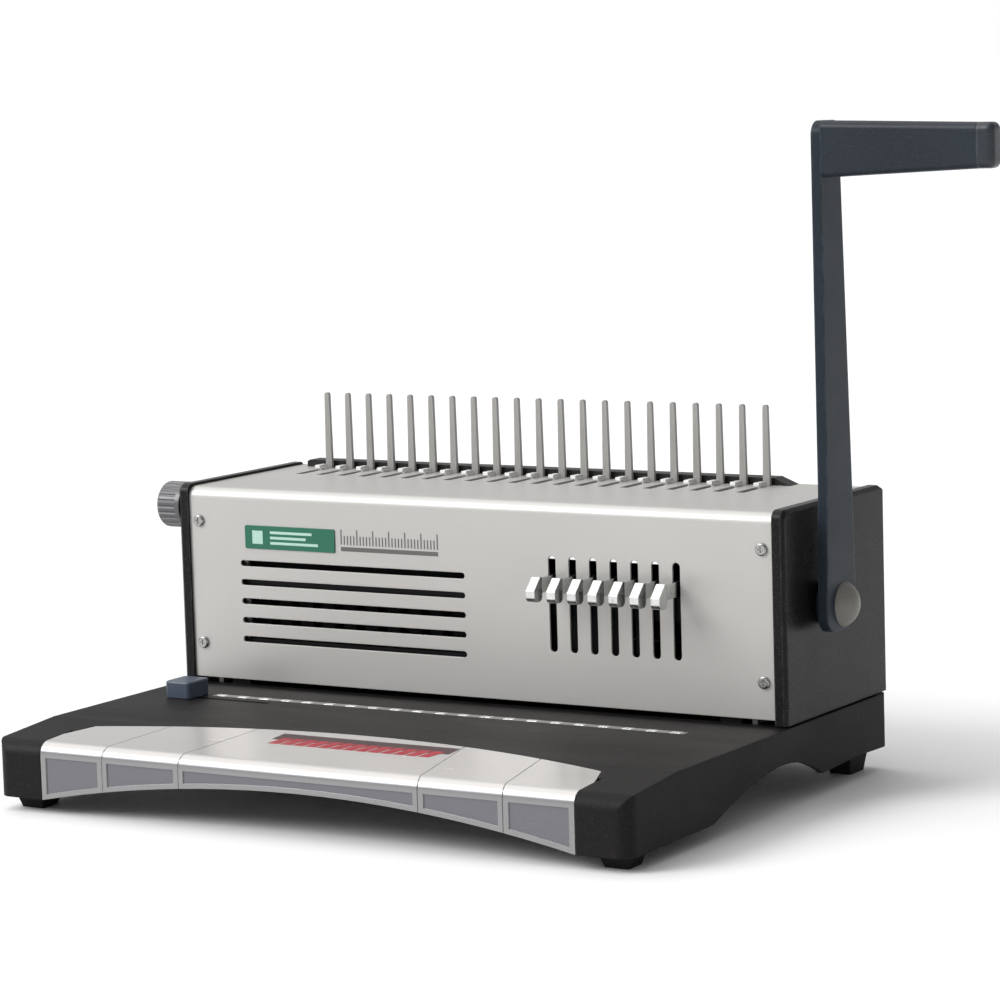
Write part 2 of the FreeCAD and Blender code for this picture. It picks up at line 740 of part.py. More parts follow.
punch_rack_z = (bar_z[0], 131.0)
comb_rack_y = (58.0, 102.0)


def punch_racks():
    """Vertical racks on the back of the punch bar, in front of the gears."""
    line = shaft_y - gear_r
    teeth = rack_teeth(punch_rack_z[0], punch_rack_z[1], shaft_z)
    outline = [(line + h, z) for z, h in teeth]
    outline += [(bar_y[1], punch_rack_z[1]), (bar_y[1], punch_rack_z[0])]
    x1 = gear_x[1]
    return both(prism("x", outline, x1 - rack_width, x1))


def comb_racks():
    """Horizontal racks above the gears, hanging from the hook plate."""
    line = shaft_z + gear_r
    teeth = rack_teeth(comb_rack_y[0], comb_rack_y[1], shaft_y)
    outline = [(y, line - h) for y, h in teeth]
    outline += [(comb_rack_y[1], hook_plate_z[0]), (comb_rack_y[0] + 30, hook_plate_z[0]),
                (comb_rack_y[0], line + 9)]
    x0 = gear_x[0]
    return both(prism("x", outline, x0, x0 + rack_width))


# ---- punch set ------------------------------------------------------------------------------
block_y = (31.0, 52.0)
block_half = 148.8
stop_bar_y = (47.0, 52.0)
tab_half = 161.5
tab_top_z = 50.0
die_bottom_z = 35.0
pin_rest_z = die_bottom_z + 1.0 + stroke
pin_head_z = 102.0
retainer_z = (bar_z[1], 110.0)
retainer_y = pin_y - 1.5
foot_z = (bar_z[1] + 0.3, 107.8)


def pin_holes(xs, z0, z1, grow, depth=pin_depth):
    return [box(x - pin_width / 2 - grow, x + pin_width / 2 + grow, pin_y - depth / 2 - grow,
                pin_y + depth / 2 + grow, z0, z1) for x in xs]


def die_plate():
    flange = box(-die_half, die_half, die_y[0], die_y[1], die_flange_z, table_z)
    body = box(-window_half + gap, window_half - gap, window_y[0] + gap, window_y[1] - gap,
               die_bottom_z, die_flange_z + 1)
    plate = fuse([flange, body])
    tools = pin_holes(pins_x, die_bottom_z - 1, table_z + 1, pin_clear)
    tools += [rod_z(sx * post_x, pin_y, post_r + seat_fit, 30, 50) for sx in (-1, 1)]
    return cut(plate, tools)


def die_spacers():
    spacer = box(block_half + 0.5, tab_half, block_y[0], stop_bar_y[0] - 1, table_z, throat_z)
    spacer = spacer.cut(rod_z(post_x, pin_y, post_r + seat_fit, 30, 60))
    return both(spacer)


def punch_guide_block():
    body = fuse([box(-block_half, block_half, block_y[0], block_y[1], throat_z, block_top_z),
                 box(-tab_half, tab_half, block_y[0], block_y[1], throat_z, tab_top_z)])
    tools = pin_holes(pins_x, throat_z - 1, block_top_z + 1, pin_clear)
    tools += [rod_z(sx * post_x, pin_y, post_r + seat_fit, 30, 60) for sx in (-1, 1)]
    return cut(body, tools)


def guide_posts():
    post = rod_z(post_x, pin_y, post_r, die_flange_z, 122.0)
    return both(round_edges(post, 1.0, lambda b: b.ZMin > 121.9))


def punch_bar():
    bar = box(-bar_half, bar_half, bar_y[0], bar_y[1], bar_z[0], bar_z[1])
    tools = pin_holes(pins_x, bar_z[0] - 1, pin_head_z + 1, pin_clear)
    tools += pin_holes(pins_x, pin_head_z, bar_z[1] + 1, pin_clear, pin_depth + 2)
    tools += [rod_z(sx * post_x, pin_y, post_r + run_fit, 80, 120) for sx in (-1, 1)]
    return cut(bar, tools)


def is_selectable(i):
    return selector_first - 1 <= i < selector_first - 1 + selector_count


def punches(wanted):
    shapes = []
    for i, x in enumerate(pins_x):
        if is_selectable(i) == wanted:
            shank = box(x - pin_width / 2, x + pin_width / 2, pin_y - pin_depth / 2,
                        pin_y + pin_depth / 2, pin_rest_z, pin_head_z + 1)
            head = box(x - pin_width / 2, x + pin_width / 2, pin_y - pin_depth / 2 - 1,
                       pin_y + pin_depth / 2 + 1, pin_head_z, bar_z[1])
            shapes.append(fuse([shank, head]))
    return shapes


def pin_retainer():
    plate = box(-148, 148, retainer_y, bar_y[1], retainer_z[0], retainer_z[1])
    pocket_x = (pins_x[selector_first - 1] - 5, pins_x[selector_first + selector_count - 2] + 5)
    pocket = box(pocket_x[0], pocket_x[1], 0, pin_y + 10.5, retainer_z[0] - 1, foot_z[1] + gap)
    return cut(plate, [pocket])


def selector_head(x, top):
    """Pull head: a block with its upper face sloping forward and its lower corners rounded."""
    y0, y1 = selector_front_y, selector_front_y + selector_head_long
    low, r = top - selector_head_tall, selector_head_r
    k = r * (1 - cos(radians(45)))
    outline = [(y0, top - selector_head_slope), (y0 + selector_head_slope, top), (y1, top),
               (y1, low + r), (y1 - k, low + k, y1 - r, low), (y0 + r, low),
               (y0 + k, low + k, y0, low + r)]
    return prism("x", outline, x - selector_head_thick / 2, x + selector_head_thick / 2)


def selector(i):
    """A pull strip: its foot lies on one punch head, its head stands out in front."""
    x_slot = selectors_x[i]
    x_pin = pins_x[selector_first - 1 + i]
    half = selector_thick / 2
    top = foot_z[0] + 8.0
    low = min(x_slot, x_pin) - 2
    high = max(x_slot, x_pin) + 2
    foot = box(low, high, pin_y - 3.0, pin_y + 5.5, foot_z[0], foot_z[1])
    web_y = selector_front_y + selector_head_long - 1
    web = box(x_slot - half, x_slot + half, web_y, retainer_y - 0.5, foot_z[0], top)
    return fuse([foot, web, selector_head(x_slot, top + 1.0)])


def return_springs():
    """Coil springs on the guide posts, between the guide block and the punch bar."""
    low, high = tab_top_z, bar_z[0]
    wire_r = 0.7
    coil_r = post_r + 1.3
    turns = 8
    tall = high - low - 2 * wire_r
    helix = Part.makeHelix(tall / turns, tall, coil_r)
    start = Part.Wire(Part.makeCircle(wire_r, V(coil_r, 0, 0), V(0, 1, 0)))
    spring = Part.Wire(helix).makePipeShell([start], True, True)
    spring.translate(V(post_x, pin_y, low + wire_r))
    return both(spring)


# ---- comb opener -----------------------------------------------------------------------------
def tines():
    """Upright fixed tines, tapering to a round tip."""
    shapes = []
    for x in tines_x:
        tip_r = tine_tip / 2
        top = tine_height_z - tip_r
        outline = [(x - tine_base / 2, tine_plate_z[0] + 2),
                   (x - tine_base / 2, housing_top_z + 2),
                   (x - tip_r, top),
                   (x, tine_height_z, x + tip_r, top),
                   (x + tine_base / 2, housing_top_z + 2),
                   (x + tine_base / 2, tine_plate_z[0] + 2)]
        shapes.append(prism("y", outline, tine_y - tine_thick / 2, tine_y + tine_thick / 2))
    return shapes


def tine_plate():
    y0 = tine_y + tine_thick / 2
    return box(-frame_x, frame_x, y0, y0 + 3, tine_plate_z[0], tine_plate_z[1])


def hook_plate():
    return box(-frame_x + 3.3, frame_x - 3.3, 96, hook_y[1], hook_plate_z[0], hook_plate_z[1])


def comb_hooks():
    """Small bent hooks, one in front of each tine."""
    shapes = []
    for x in tines_x:
        z0 = hook_plate_z[1]
        top = housing_top_z + 2.8
        outline = [(hook_y[1], z0), (hook_y[1], top - 1.5), (hook_y[1] - 1.5, top),
                   (hook_y[0], top), (hook_y[0], top - 1.8),
                   (hook_y[1] - hook_finger, top - 1.8), (hook_y[1] - hook_finger, z0)]
        shapes.append(prism("x", outline, x - 1.6, x + 1.6))
    return shapes


def hook_guides():
    """Channels on the side frames, in which the hook plate slides."""
    x0, x1 = frame_x - 7, frame_x
    y0, y1 = 70.0, 128.5
    low, high = hook_plate_z[0] - gap, hook_plate_z[1] + gap
    body = fuse([box(x0, x1, y0, y1, low - 3, low),
                 box(x1 - 3, x1, y0, y1, low - 3, high + 1.6),
                 box(x0, x1, y0, y1, high, high + 1.6)])
    return both(body)


# ---- lever -------------------------------------------------------------------------------------
def lever_arm():
    """Flat bar from the pivot up to the grip, wider towards the pivot."""
    x0, x1 = lever_x
    low = shaft_z - 13
    outline = [(50.0, low + 8), (52.3, 160), (grip_y[0] + 0.8, grip_z[1] - 8),
               (grip_y[0] + 2.6, grip_z[1] - 2.6, grip_y[0] + 9, grip_z[1]),
               (grip_y[1] + 4, grip_z[1]), (73.0, grip_z[1] - 6), (75.0, 300), (81.0, 160),
               (83.0, shaft_z), (shaft_y + 9.2, shaft_z - 9.2, shaft_y, low),
               (58.0, low), (52.5, low + 2.5, 50.0, low + 8)]
    arm = prism("x", outline, x0, x1)
    boss = rod_x(shaft_y, shaft_z, 11.0, housing_half + panel_thick + 0.5, x0 + 0.5)
    bore = rod_x(shaft_y, shaft_z, shaft_r + seat_fit, 180, 210)
    bore = bore.cut(box(x0 - 1, x1 + 1, shaft_y - 10, shaft_y + 10, shaft_z + 4.5 + seat_fit,
                        shaft_z + 12))
    return fuse([arm, boss]).cut(bore)


def grip_section(x, z0, z1, y0, y1, r):
    """A rounded rectangle across the grip."""
    k = r * (1 - cos(radians(45)))
    steps = [(y0, z1 - r), (y0 + k, z1 - k, y0 + r, z1), (y1 - r, z1), (y1 - k, z1 - k, y1, z1 - r),
             (y1, z0 + r), (y1 - k, z0 + k, y1 - r, z0), (y0 + r, z0), (y0 + k, z0 + k, y0, z0 + r)]
    edges = []
    here = V(x, steps[0][0], steps[0][1])
    for step in steps[1:] + steps[:1]:
        end = V(x, step[-2], step[-1])
        if len(step) == 4:
            edges.append(Part.Arc(here, V(x, step[0], step[1]), end).toShape())
        else:
            edges.append(Part.LineSegment(here, end).toShape())
        here = end
    return Part.Wire(edges)


def lever_grip():
    start = grip_section(lever_x[1], grip_z[0], grip_z[1], grip_y[0], grip_y[1], 4.0)
    end = grip_section(grip_end_x - grip_cap, grip_end_z[0], grip_end_z[1], grip_y[0],
                       grip_y[1] - 1, 4.0)
    return Part.makeLoft([start, end], True, True)


def grip_end_cap():
    x0 = grip_end_x - grip_cap
    start = grip_section(x0, grip_end_z[0], grip_end_z[1], grip_y[0], grip_y[1] - 1, 4.0)
    cap = Part.Face(start).extrude(V(grip_cap, 0, 0))
    return round_edges(cap, 3.2, lambda b: b.XMin > grip_end_x - 1e-3)


def pivot_cap():
    """Domed cap over the shaft end."""
    r, tall = 12.0, 7.5
    x0 = lever_x[1]
    ball_r = (r * r + tall * tall) / (2 * tall)
    ball = Part.makeSphere(ball_r, V(x0 + tall - ball_r, shaft_y, shaft_z))
    return ball.common(rod_x(shaft_y, shaft_z, r, x0, x0 + tall + 1))


# ---- margin control ------------------------------------------------------------------------------
def knob_arm():
    """Unit vector from the rocker's pivot to the knob's axis, and its length."""
    dy, dz = knob_y - rocker_y, knob_z - rocker_z
    length = hypot(dy, dz)
    return dy / length, dz / length, length


def crank_rest():
    """Where the crank pin stands at rest: half the knob's turn short of the rocker's line."""
    uy, uz, _ = knob_arm()
    a = -knob_turn / 2
    return (knob_y + crank_offset * (uy * cos(a) - uz * sin(a)),
            knob_z + crank_offset * (uy * sin(a) + uz * cos(a)))


def margin_knob():
    x0, x1 = knob_x
    body = rod_x(knob_y, knob_z, knob_r, x0, x1)
    body = round_edges(body, 1.5, lambda b: b.XMax < x0 + 1e-3)
    ribs = 24
    cuts = []
    for i in range(ribs):
        a = 2 * pi * i / ribs
        cuts.append(rod_x(knob_y + (knob_r + 0.3) * cos(a), knob_z + (knob_r + 0.3) * sin(a),
                          0.9, x0 - 1, x1 - 3))
    cuts.append(rod_x(knob_y, knob_z, knob_shaft_r + seat_fit, x0 + 4, x1 + 1))
    return cut(body, cuts)


def margin_shaft():
    y, z = crank_rest()
    end = -frame_x - 0.4
    return fuse([rod_x(knob_y, knob_z, knob_shaft_r, knob_x[0] + 4, end),
                 rod_x(y, z, crank_pin_r, end - 0.5, -rocker_x[0] + 1.5)])


def margin_rockers():
    """Two bent arms on pivots; the left one has a fork round the crank pin."""
    x0, x1 = rocker_x
    uy, uz, length = knob_arm()
    w = 4.5

    def leg(y_a, z_a, y_b, z_b, half):
        dy, dz = y_b - y_a, z_b - z_a
        n = hypot(dy, dz)
        py, pz = -dz / n * half, dy / n * half
        return prism("x", [(y_a + py, z_a + pz), (y_a - py, z_a - pz), (y_b - py, z_b - pz),
                           (y_b + py, z_b + pz)], x0, x1)

    pivot = rod_x(rocker_y, rocker_z, 5.5, x0, x1)
    lower = leg(rocker_y, rocker_z, rocker_y, table_z + 0.5, w / 2 + 0.2)
    bore = rod_x(rocker_y, rocker_z, 2.5 + run_fit, x0 - 1, x1 + 1)
    right = fuse([pivot, lower]).cut(bore)
    top = length + 5.5
    upper = leg(rocker_y, rocker_z, rocker_y + uy * top, rocker_z + uz * top, w)
    py, pz = crank_rest()
    side = (py - rocker_y) * uz - (pz - rocker_z) * uy
    fork_y, fork_z = rocker_y + side * uz, rocker_z - side * uy
    fork = leg(fork_y + uy * (length - 4.5), fork_z + uz * (length - 4.5),
               fork_y + uy * (top + 3), fork_z + uz * (top + 3), crank_pin_r + gap)
    left = mirror_x(fuse([pivot, lower, upper]).cut(Part.makeCompound([bore, fork])))
    return [left, right]


def margin_stop_bar():
    return box(-rocker_x[0], rocker_x[0], stop_bar_y[0], stop_bar_y[1], table_z + 0.5, throat_z - 0.5)


def margin_pivots():
    """Pins that carry the rockers on the side frames."""
    pin = fuse([rod_x(rocker_y, rocker_z, 2.5, rocker_x[0] - 0.8, frame_x + frame_thick),
                rod_x(rocker_y, rocker_z, 4.0, frame_x + frame_thick, frame_x + frame_thick + 1.5)])
    return both(pin)


# ---- export ----------------------------------------------------------------------------------------
def solids_of(shapes):
    found = []
    for shape in shapes if isinstance(shapes, list) else [shapes]:
        found += shape.Solids
    return found


def export(name, shapes):
    solids = solids_of(shapes)
    group = solids[0] if len(solids) == 1 else Part.makeCompound(solids)
    group = group.copy()
    group.translate(V(-origin_x, 0, 0))
    bad = [s for s in group.Solids if not s.isValid() or s.Volume <= 0]
    if bad:
        raise ValueError(name + " has a solid that isn't valid")
    group.exportStep("parts/" + name + ".step")
    b = group.BoundBox
    print("%-22s %3d  x %.1f %.1f  y %.1f %.1f  z %.1f %.1f" % (
        name, len(solids), b.XMin, b.XMax, b.YMin, b.YMax, b.ZMin, b.ZMax))


def main():
    os.makedirs("parts", exist_ok=True)
    pieces = {
        "base_shell": base_shell, "base_bottom_plate": base_bottom_plate,
        "bottom_plate_screws": bottom_plate_screws, "rubber_feet": rubber_feet,
        "foot_screws": foot_screws, "scale_strip": scale_strip, "front_cover": front_cover,
        "chip_tray": chip_tray, "paper_guide": paper_guide, "guide_clamp": guide_clamp,
        "housing_cover": housing_cover, "cover_screws": cover_screws, "badge_plate": badge_plate,
        "rear_cover": rear_cover, "comb_rail": comb_rail, "frame_bolts": frame_bolts,
        "tie_rods": tie_rods, "tie_rod_nuts": tie_rod_nuts, "main_shaft": main_shaft,
        "shaft_rings": shaft_rings, "drive_gears": drive_gears, "punch_racks": punch_racks,
        "comb_racks": comb_racks, "die_plate": die_plate, "die_spacers": die_spacers,
        "punch_guide_block": punch_guide_block, "guide_posts": guide_posts,
        "punch_bar": punch_bar, "pin_retainer": pin_retainer, "return_springs": return_springs,
        "tines": tines, "tine_plate": tine_plate, "hook_plate": hook_plate,
        "comb_hooks": comb_hooks, "hook_guides": hook_guides, "lever_arm": lever_arm,
        "lever_grip": lever_grip, "grip_end_cap": grip_end_cap, "pivot_cap": pivot_cap,
        "margin_knob": margin_knob, "margin_shaft": margin_shaft,
        "margin_rockers": margin_rockers, "margin_stop_bar": margin_stop_bar,
        "margin_pivots": margin_pivots}
    for name, make in pieces.items():
        export(name, make())
    for side, word in ((-1, "left"), (1, "right")):
        export(word + "_end_panel", end_panel(side))
        export(word + "_side_frame", side_frame(side))
        export(word + "_bush", bush(side))
    export("fixed_punches", punches(False))
    export("selectable_punches", punches(True))
    for i in range(selector_count):
        export("selector_%d" % (i + 1), selector(i))
    uy, uz, length = knob_arm()
    travel = 2 * crank_offset * sin(knob_turn / 2)
    print("punch stroke %.2f mm, rocker ratio %.5f" % (stroke, travel / length / knob_turn))


main()
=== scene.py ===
import json
import math

import bpy
import numpy as np
from mathutils import Matrix, Vector


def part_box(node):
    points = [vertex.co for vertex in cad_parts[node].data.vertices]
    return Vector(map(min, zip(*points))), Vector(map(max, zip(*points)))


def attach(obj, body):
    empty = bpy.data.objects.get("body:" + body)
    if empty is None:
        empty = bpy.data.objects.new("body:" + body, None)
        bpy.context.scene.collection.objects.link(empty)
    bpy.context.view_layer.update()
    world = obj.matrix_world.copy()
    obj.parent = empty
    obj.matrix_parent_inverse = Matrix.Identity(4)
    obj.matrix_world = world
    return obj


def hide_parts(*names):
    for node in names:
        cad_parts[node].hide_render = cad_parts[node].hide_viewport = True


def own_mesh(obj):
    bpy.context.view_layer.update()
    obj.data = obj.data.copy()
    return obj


# Comb binding machine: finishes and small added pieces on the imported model, in metres.

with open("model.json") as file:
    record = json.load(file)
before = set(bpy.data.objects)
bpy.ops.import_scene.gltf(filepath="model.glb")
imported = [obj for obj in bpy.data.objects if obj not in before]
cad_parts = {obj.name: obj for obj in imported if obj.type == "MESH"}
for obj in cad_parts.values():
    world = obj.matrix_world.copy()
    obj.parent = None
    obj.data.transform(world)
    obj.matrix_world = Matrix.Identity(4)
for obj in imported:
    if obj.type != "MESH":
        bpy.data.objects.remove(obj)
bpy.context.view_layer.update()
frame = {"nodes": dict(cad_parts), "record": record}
print("frame loaded,", len(frame["nodes"]), "nodes")


# node helpers: from noise to bump, each adds its node and returns the output that is used
# 0 to 255 screen values to the linear ones a shader takes, with alpha 1.
def linear(colour):
    part = np.asarray(colour, float) / 255
    flat = np.where(part <= 0.04045, part / 12.92, ((part + 0.055) / 1.055) ** 2.4)
    return (*flat.tolist(), 1.0)


def addNode(tree, kind, inputs=None, **settings):
    made = tree.nodes.new("ShaderNode" + kind)
    for key, value in settings.items():
        setattr(made, key, value)
    for key, value in (inputs or {}).items():
        if isinstance(value, bpy.types.NodeSocket):
            tree.links.new(value, made.inputs[key])
        else:
            made.inputs[key].default_value = value
    return made


def noise(tree, where, scale, detail=3.0, rough=0.5):
    given = {"Vector": where, "Scale": scale, "Detail": detail, "Roughness": rough}
    return addNode(tree, "TexNoise", given).outputs["Fac"]


def cells(tree, where, scale, feature="F1"):
    given = {"Vector": where, "Scale": scale}
    return addNode(tree, "TexVoronoi", given, feature=feature).outputs["Distance"]


def stretch(tree, where, scale):
    return addNode(tree, "Mapping", {"Vector": where, "Scale": scale}).outputs["Vector"]


def remap(tree, value, low, high, newLow, newHigh):
    given = {0: value, 1: low, 2: high, 3: newLow, 4: newHigh}
    return addNode(tree, "MapRange", given).outputs[0]


def calc(tree, operation, first, second):
    return addNode(tree, "Math", {0: first, 1: second}, operation=operation).outputs[0]


def mixColour(tree, factor, first, second, blend="MIX"):
    given = {0: factor, 6: first, 7: second}
    return addNode(tree, "Mix", given, data_type="RGBA", blend_type=blend).outputs[2]


def bump(tree, height, distance, strength=1.0, under=None):
    given = {"Height": height, "Distance": distance, "Strength": strength}
    if under is not None:
        given["Normal"] = under
    return addNode(tree, "Bump", given).outputs["Normal"]


# A material with its shader, object coordinates, eased normal and an edge mask, which rises from 0 to 1
# as the cosine between the eased and the flat normal falls from 0.995 to 0.80.
def startFinish(name, look):
    material = bpy.data.materials.new(name)
    material.use_nodes = True
    tree = material.node_tree
    tree.nodes.clear()
    output = addNode(tree, "OutputMaterial")
    shader = addNode(tree, "BsdfPrincipled")
    tree.links.new(shader.outputs["BSDF"], output.inputs["Surface"])
    shader.inputs["Metallic"].default_value = look.get("metallic", 0.0)
    shader.inputs["Specular IOR Level"].default_value = look.get("specular", 0.4)
    shader.inputs["Coat Weight"].default_value = look.get("coat", 0.0)
    shader.inputs["Coat Roughness"].default_value = look.get("coatRoughness", 0.15)
    shader.inputs["Anisotropic"].default_value = look.get("anisotropy", 0.0)
    where = addNode(tree, "TexCoord").outputs["Object"]
    eased = addNode(tree, "Bevel", {"Radius": look.get("easedEdge", 0.0006)}, samples=4).outputs[0]
    flat = addNode(tree, "NewGeometry").outputs["Normal"]
    facing = addNode(tree, "VectorMath", {0: eased, 1: flat}, operation="DOT_PRODUCT")
    edge = remap(tree, facing.outputs["Value"], 0.995, 0.80, 0.0, 1.0)
    return material, tree, shader, where, eased, edge


def joinFinish(tree, shader, colour, roughness, normal):
    tree.links.new(colour, shader.inputs["Base Color"])
    tree.links.new(roughness, shader.inputs["Roughness"])
    tree.links.new(normal, shader.inputs["Normal"])


# Edges rubbed towards a second colour where a coarse noise runs high, and on the black end panels and the
# grip cap also a painted highlight.
def wearAndHighlightColour(tree, where, edge, colour, look):
    patch = remap(tree, noise(tree, where, look.get("wearScale", 90.0), 4.0, 0.6), 0.42, 0.62, 0.25, 1.0)
    wearAndHighlightAmount = calc(tree, "MULTIPLY", calc(tree, "MULTIPLY", edge, patch), look.get("edgeWearAndHighlight", 0.3))
    return mixColour(tree, wearAndHighlightAmount, colour, linear(look["wearAndHighlightColour"]))


# finishes
# Moulded plastic: eroded-tool grain of small cells and noise, slow colour drift, rubbed edges, which on the
# black end panels and the grip cap are also a painted highlight.
def mouldedFinish(name, look):
    material, tree, shader, where, eased, edge = startFinish(name, look)
    grain = calc(tree, "ADD", cells(tree, where, look["grainScale"]),
                 noise(tree, where, look["grainScale"] * 1.7, 4.0, 0.6))
    drift = noise(tree, where, look.get("driftScale", 14.0), 4.0, 0.55)
    flow = noise(tree, stretch(tree, where, look.get("flow", (6.0, 22.0, 22.0))), 1.0, 3.0, 0.5)
    colour = mixColour(tree, remap(tree, drift, 0.3, 0.7, 0.0, 1.0),
                       linear(look["colour"]), linear(look["colourFar"]))
    dust = noise(tree, where, look["grainScale"] * 0.9, 2.0, 0.5)
    speck = remap(tree, dust, 0.56, 0.70, 0.0, look.get("speck", 0.25))
    colour = mixColour(tree, speck, colour, linear(look["wearAndHighlightColour"]))
    colour = wearAndHighlightColour(tree, where, edge, colour, look)
    low, high = look["roughness"]
    rough = remap(tree, calc(tree, "ADD", flow, calc(tree, "MULTIPLY", grain, 0.35)), 0.35, 1.1, low, high)
    scuff = noise(tree, stretch(tree, where, (30.0, 400.0, 160.0)), 1.0, 2.0, 0.6)
    rough = calc(tree, "SUBTRACT", rough, remap(tree, scuff, 0.66, 0.72, 0.0, look.get("scuff", 0.08)))
    normal = bump(tree, grain, look["grainDepth"], 1.0, eased)
    normal = bump(tree, flow, look.get("waveDepth", 0.0002), 0.5, normal)
    joinFinish(tree, shader, colour, rough, normal)
    return material


# Baked paint: orange-peel waves, fine speckle, faint handling marks, paint thinned at edges.
def paintedFinish(name, look):
    material, tree, shader, where, eased, edge = startFinish(name, look)
    peel = noise(tree, where, look.get("peelScale", 520.0), 2.0, 0.45)
    fine = noise(tree, where, look.get("fineScale", 2600.0), 2.0, 0.5)
    drift = noise(tree, where, look.get("driftScale", 7.0), 3.0, 0.5)
    colour = mixColour(tree, remap(tree, drift, 0.3, 0.7, 0.0, 1.0),
                       linear(look["colour"]), linear(look["colourFar"]))
    speck = remap(tree, fine, 0.5, 0.72, 0.0, look.get("speck", 0.2))
    colour = mixColour(tree, speck, colour, linear(look["wearAndHighlightColour"]))
    colour = wearAndHighlightColour(tree, where, edge, colour, look)
    low, high = look["roughness"]
    smear = noise(tree, stretch(tree, where, (9.0, 30.0, 45.0)), 1.0, 4.0, 0.6)
    rough = remap(tree, calc(tree, "ADD", smear, calc(tree, "MULTIPLY", fine, 0.3)), 0.4, 0.9, low, high)
    normal = bump(tree, peel, look.get("peelDepth", 0.00006), 1.0, eased)
    normal = bump(tree, fine, look.get("fineDepth", 0.00001), 1.0, normal)
    joinFinish(tree, shader, colour, rough, normal)
    return material


# Drawn or ground metal: noise stretched along the working direction, stains, brighter edges.
def brushedFinish(name, look):
    material, tree, shader, where, eased, edge = startFinish(name, look)
    lines = noise(tree, stretch(tree, where, look["brush"]), 1.0, 4.0, 0.65)
    deep = noise(tree, stretch(tree, where, tuple(0.35 * x for x in look["brush"])), 1.0, 2.0, 0.5)
    stain = noise(tree, where, look.get("stainScale", 60.0), 5.0, 0.65)
    colour = mixColour(tree, remap(tree, lines, 0.3, 0.7, 0.0, 1.0),
                       linear(look["colour"]), linear(look["colourFar"]))
    stained = remap(tree, stain, 0.55, 0.75, 0.0, look.get("stain", 0.35))
    colour = mixColour(tree, stained, colour, linear(look["stainColour"]))
    colour = wearAndHighlightColour(tree, where, edge, colour, look)
    low, high = look["roughness"]
    rough = remap(tree, calc(tree, "ADD", lines, calc(tree, "MULTIPLY", stain, 0.5)), 0.45, 1.0, low, high)
    normal = bump(tree, calc(tree, "ADD", lines, deep), look.get("lineDepth", 0.00002), 1.0, eased)
    joinFinish(tree, shader, colour, rough, normal)
    return material


# Painted shade by facing and place: faces turned to the front take a darker tone, painted shade, which comes
# in as the normal's y goes from -0.80 to -0.97; those of them behind the plane y = recessY take a darker tone
# still, painted recess shade.
def paintedFrontShade(tree, where, colour, look):
    place = addNode(tree, "SeparateXYZ", {0: where})
    facing = addNode(tree, "SeparateXYZ", {0: addNode(tree, "NewGeometry").outputs["Normal"]})
    # masks for the painted shade: back is the recess behind recessY, front the faces turned to the front
    back = remap(tree, place.outputs["Y"], look["recessY"] - 0.0002, look["recessY"] + 0.0001, 0.0, 1.0)
    front = remap(tree, facing.outputs["Y"], -0.80, -0.97, 0.0, 1.0)
    paintedShadeTone = mixColour(tree, back, linear(look["shadedFrontTone"]), linear(look["recessShadeTone"]))
    return mixColour(tree, front, colour, paintedShadeTone)


# Silver-filled moulding: flakes as small cells, each tilted a little, under a thin clear skin.
def pearlFinish(name, look):
    material, tree, shader, where, eased, edge = startFinish(name, look)
    flake = addNode(tree, "TexVoronoi", {"Vector": where, "Scale": look["flakeScale"]})
    glint = addNode(tree, "SeparateColor", {0: flake.outputs["Color"]})
    drift = noise(tree, stretch(tree, where, (5.0, 14.0, 14.0)), 1.0, 4.0, 0.55)
    colour = mixColour(tree, remap(tree, drift, 0.3, 0.7, 0.0, 1.0),
                       linear(look["colour"]), linear(look["colourFar"]))
    colour = mixColour(tree, remap(tree, glint.outputs[0], 0.7, 1.0, 0.0, look.get("glint", 0.5)),
                       colour, linear(look["flakeColour"]))
    colour = mixColour(tree, remap(tree, glint.outputs[1], 0.8, 1.0, 0.0, look.get("glint", 0.5) * 0.6),
                       colour, linear(look["darkFlake"]))
    # painted shade on the faces turned to the front and in the recess behind them
    if "recessShadeTone" in look:
        colour = paintedFrontShade(tree, where, colour, look)
    colour = wearAndHighlightColour(tree, where, edge, colour, look)
    low, high = look["roughness"]
    smear = noise(tree, stretch(tree, where, (8.0, 40.0, 40.0)), 1.0, 4.0, 0.6)
    sparkle = calc(tree, "MULTIPLY", glint.outputs[2], look.get("sparkle", 0.25))
    rough = remap(tree, calc(tree, "ADD", smear, sparkle), 0.4, 0.9, low, high)
    normal = bump(tree, noise(tree, where, 240.0, 2.0, 0.5), look.get("waveDepth", 0.00008), 0.6, eased)
    normal = bump(tree, glint.outputs[2], look.get("flakeDepth", 0.000012), 1.0, normal)
    joinFinish(tree, shader, colour, rough, normal)
    return material


